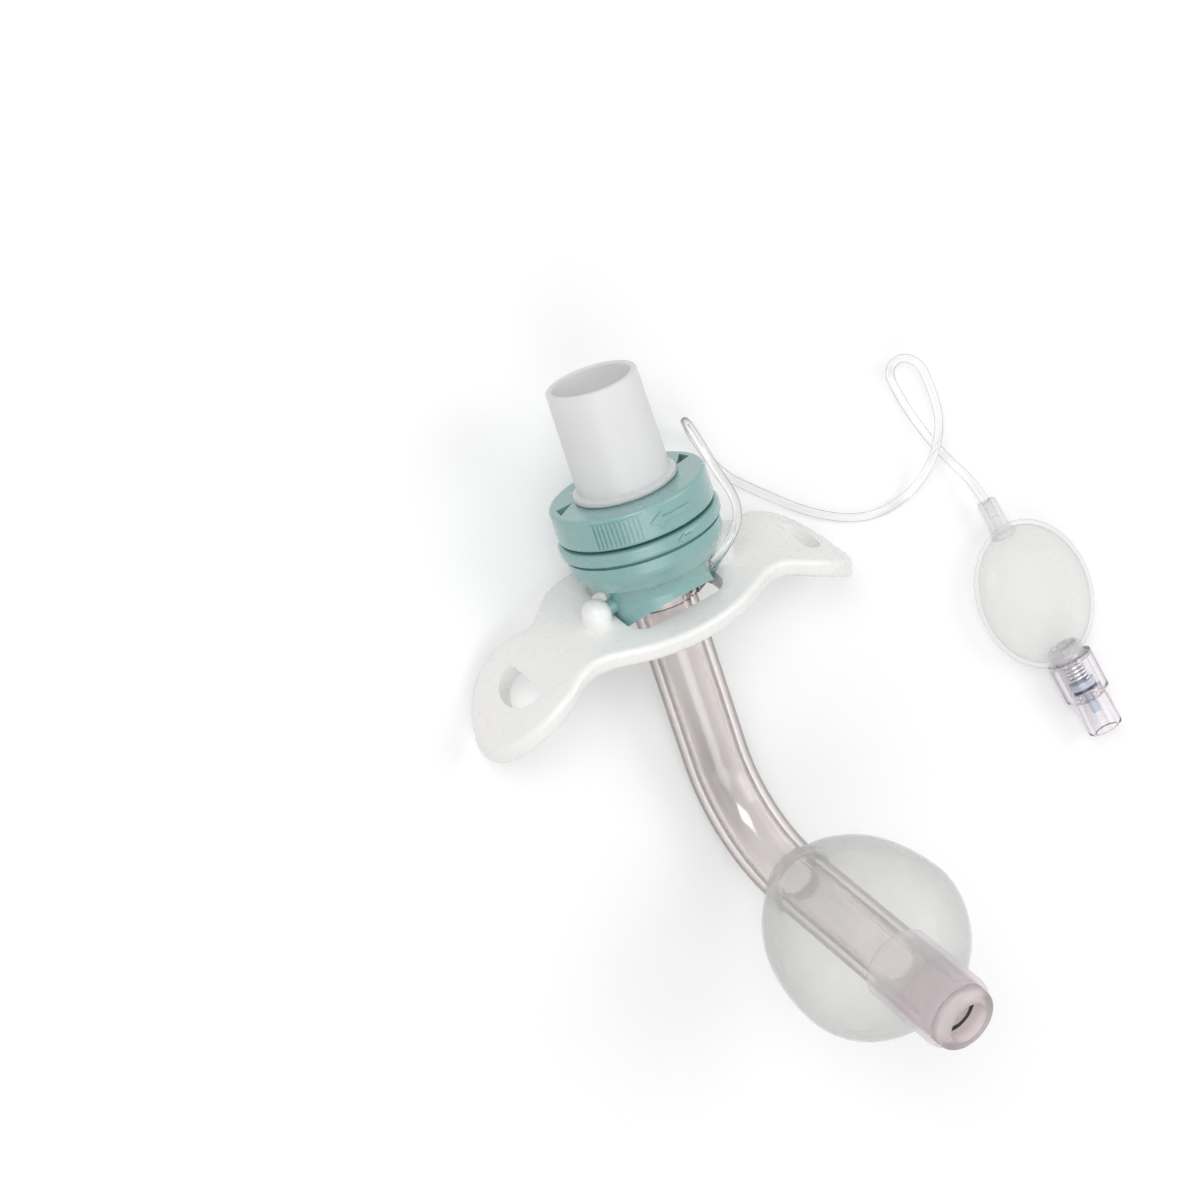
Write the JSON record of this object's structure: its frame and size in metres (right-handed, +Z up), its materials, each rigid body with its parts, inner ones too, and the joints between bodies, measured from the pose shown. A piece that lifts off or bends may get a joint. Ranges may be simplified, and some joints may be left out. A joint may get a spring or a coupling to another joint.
{
  "type": "tracheostomy tube",
  "caption": "Cuffed tracheostomy tube of extended length with inner cannula, swivelling neck flange, bayonet locking ring, pilot balloon and inflation valve",
  "frame": {"origin": "On the table, under the middle of the box around the tube, flange and cuff; the free line, pilot balloon and valve are left out of that box", "axes": "+Z is up from the table, +Y runs along the table from the cuffed tip's end towards the 15 mm connector, +X points to the wing on whose side the inflation line leaves"},
  "size_m": [0.1173, 0.1186, 0.0542],
  "materials": {
    "clear_tube": "clear flexible plastic, slightly warm",
    "inner_tube": "thin clear plastic",
    "teal_plastic": "pale teal moulded plastic, slightly translucent",
    "frosted_plastic": "frosted off-white moulded plastic",
    "white_flange": "soft white flexible plastic",
    "clear_film": "thin clear film, inflated",
    "line_plastic": "thin clear tubing",
    "lilac_plastic": "clear plastic with a lilac tint",
    "blue_plastic": "blue moulded plastic",
    "black_rubber": "black rubber",
    "spring_steel": "bright steel wire"
  },
  "bodies": {
    "tube": {"outer_cannula": "clear_tube", "inner_cannula": "inner_tube", "cannula_hub": "teal_plastic", "connector_15mm": "frosted_plastic", "cuff": "clear_film", "inflation_line": "line_plastic", "pilot_balloon": "clear_film", "valve_housing": "lilac_plastic", "valve_luer": "lilac_plastic", "valve_spring": "spring_steel"},
    "flange": {"neck_flange": "white_flange"},
    "ring": {"locking_ring": "teal_plastic"},
    "plunger": {"valve_plunger": "blue_plastic", "valve_seal": "black_rubber"}
  },
  "joints": [
    {"name": "flange_tilt", "type": "hinge", "parent": "tube", "child": "flange", "pos_m": [0, 0.0227, 0.01382], "axis": [1, 0, 0], "range_deg": [-24, 3]},
    {"name": "ring_turn", "type": "hinge", "parent": "tube", "child": "ring", "pos_m": [0, 0.03406, 0.01661], "axis": [0, 0.9711, 0.2385], "range_deg": [0, 40]},
    {"name": "valve_press", "type": "slide", "parent": "tube", "child": "plunger", "axis": [-0.0854, 0.9963, 0], "range_m": [0, 0.0015], "stiffness_N_per_m": 300, "springref_m": -0.002, "deforming": ["valve_spring"]}
  ]
}
